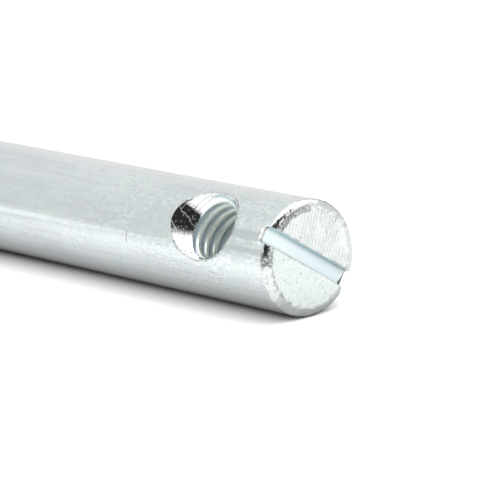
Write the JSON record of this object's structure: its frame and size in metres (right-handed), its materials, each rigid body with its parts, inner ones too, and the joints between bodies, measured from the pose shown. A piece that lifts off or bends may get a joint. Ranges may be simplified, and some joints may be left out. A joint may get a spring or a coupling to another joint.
{
  "type": "cross dowel",
  "caption": "Round zinc-plated steel rod with a countersunk threaded cross hole near one end and a screwdriver slot across that end, for bolted joints in wood.",
  "frame": {"origin": "centre of the plain end face, on which the rod stands", "axes": "+Z along the rod towards the slotted end; the countersunk mouth of the cross hole faces -Y; the slot runs along Y"},
  "size_m": [0.01, 0.01, 0.06],
  "materials": {
    "zinc_plate": "bright bluish zinc plating, satin, with fine scratches"
  },
  "bodies": {
    "root": {"dowel": "zinc_plate"}
  },
  "joints": []
}
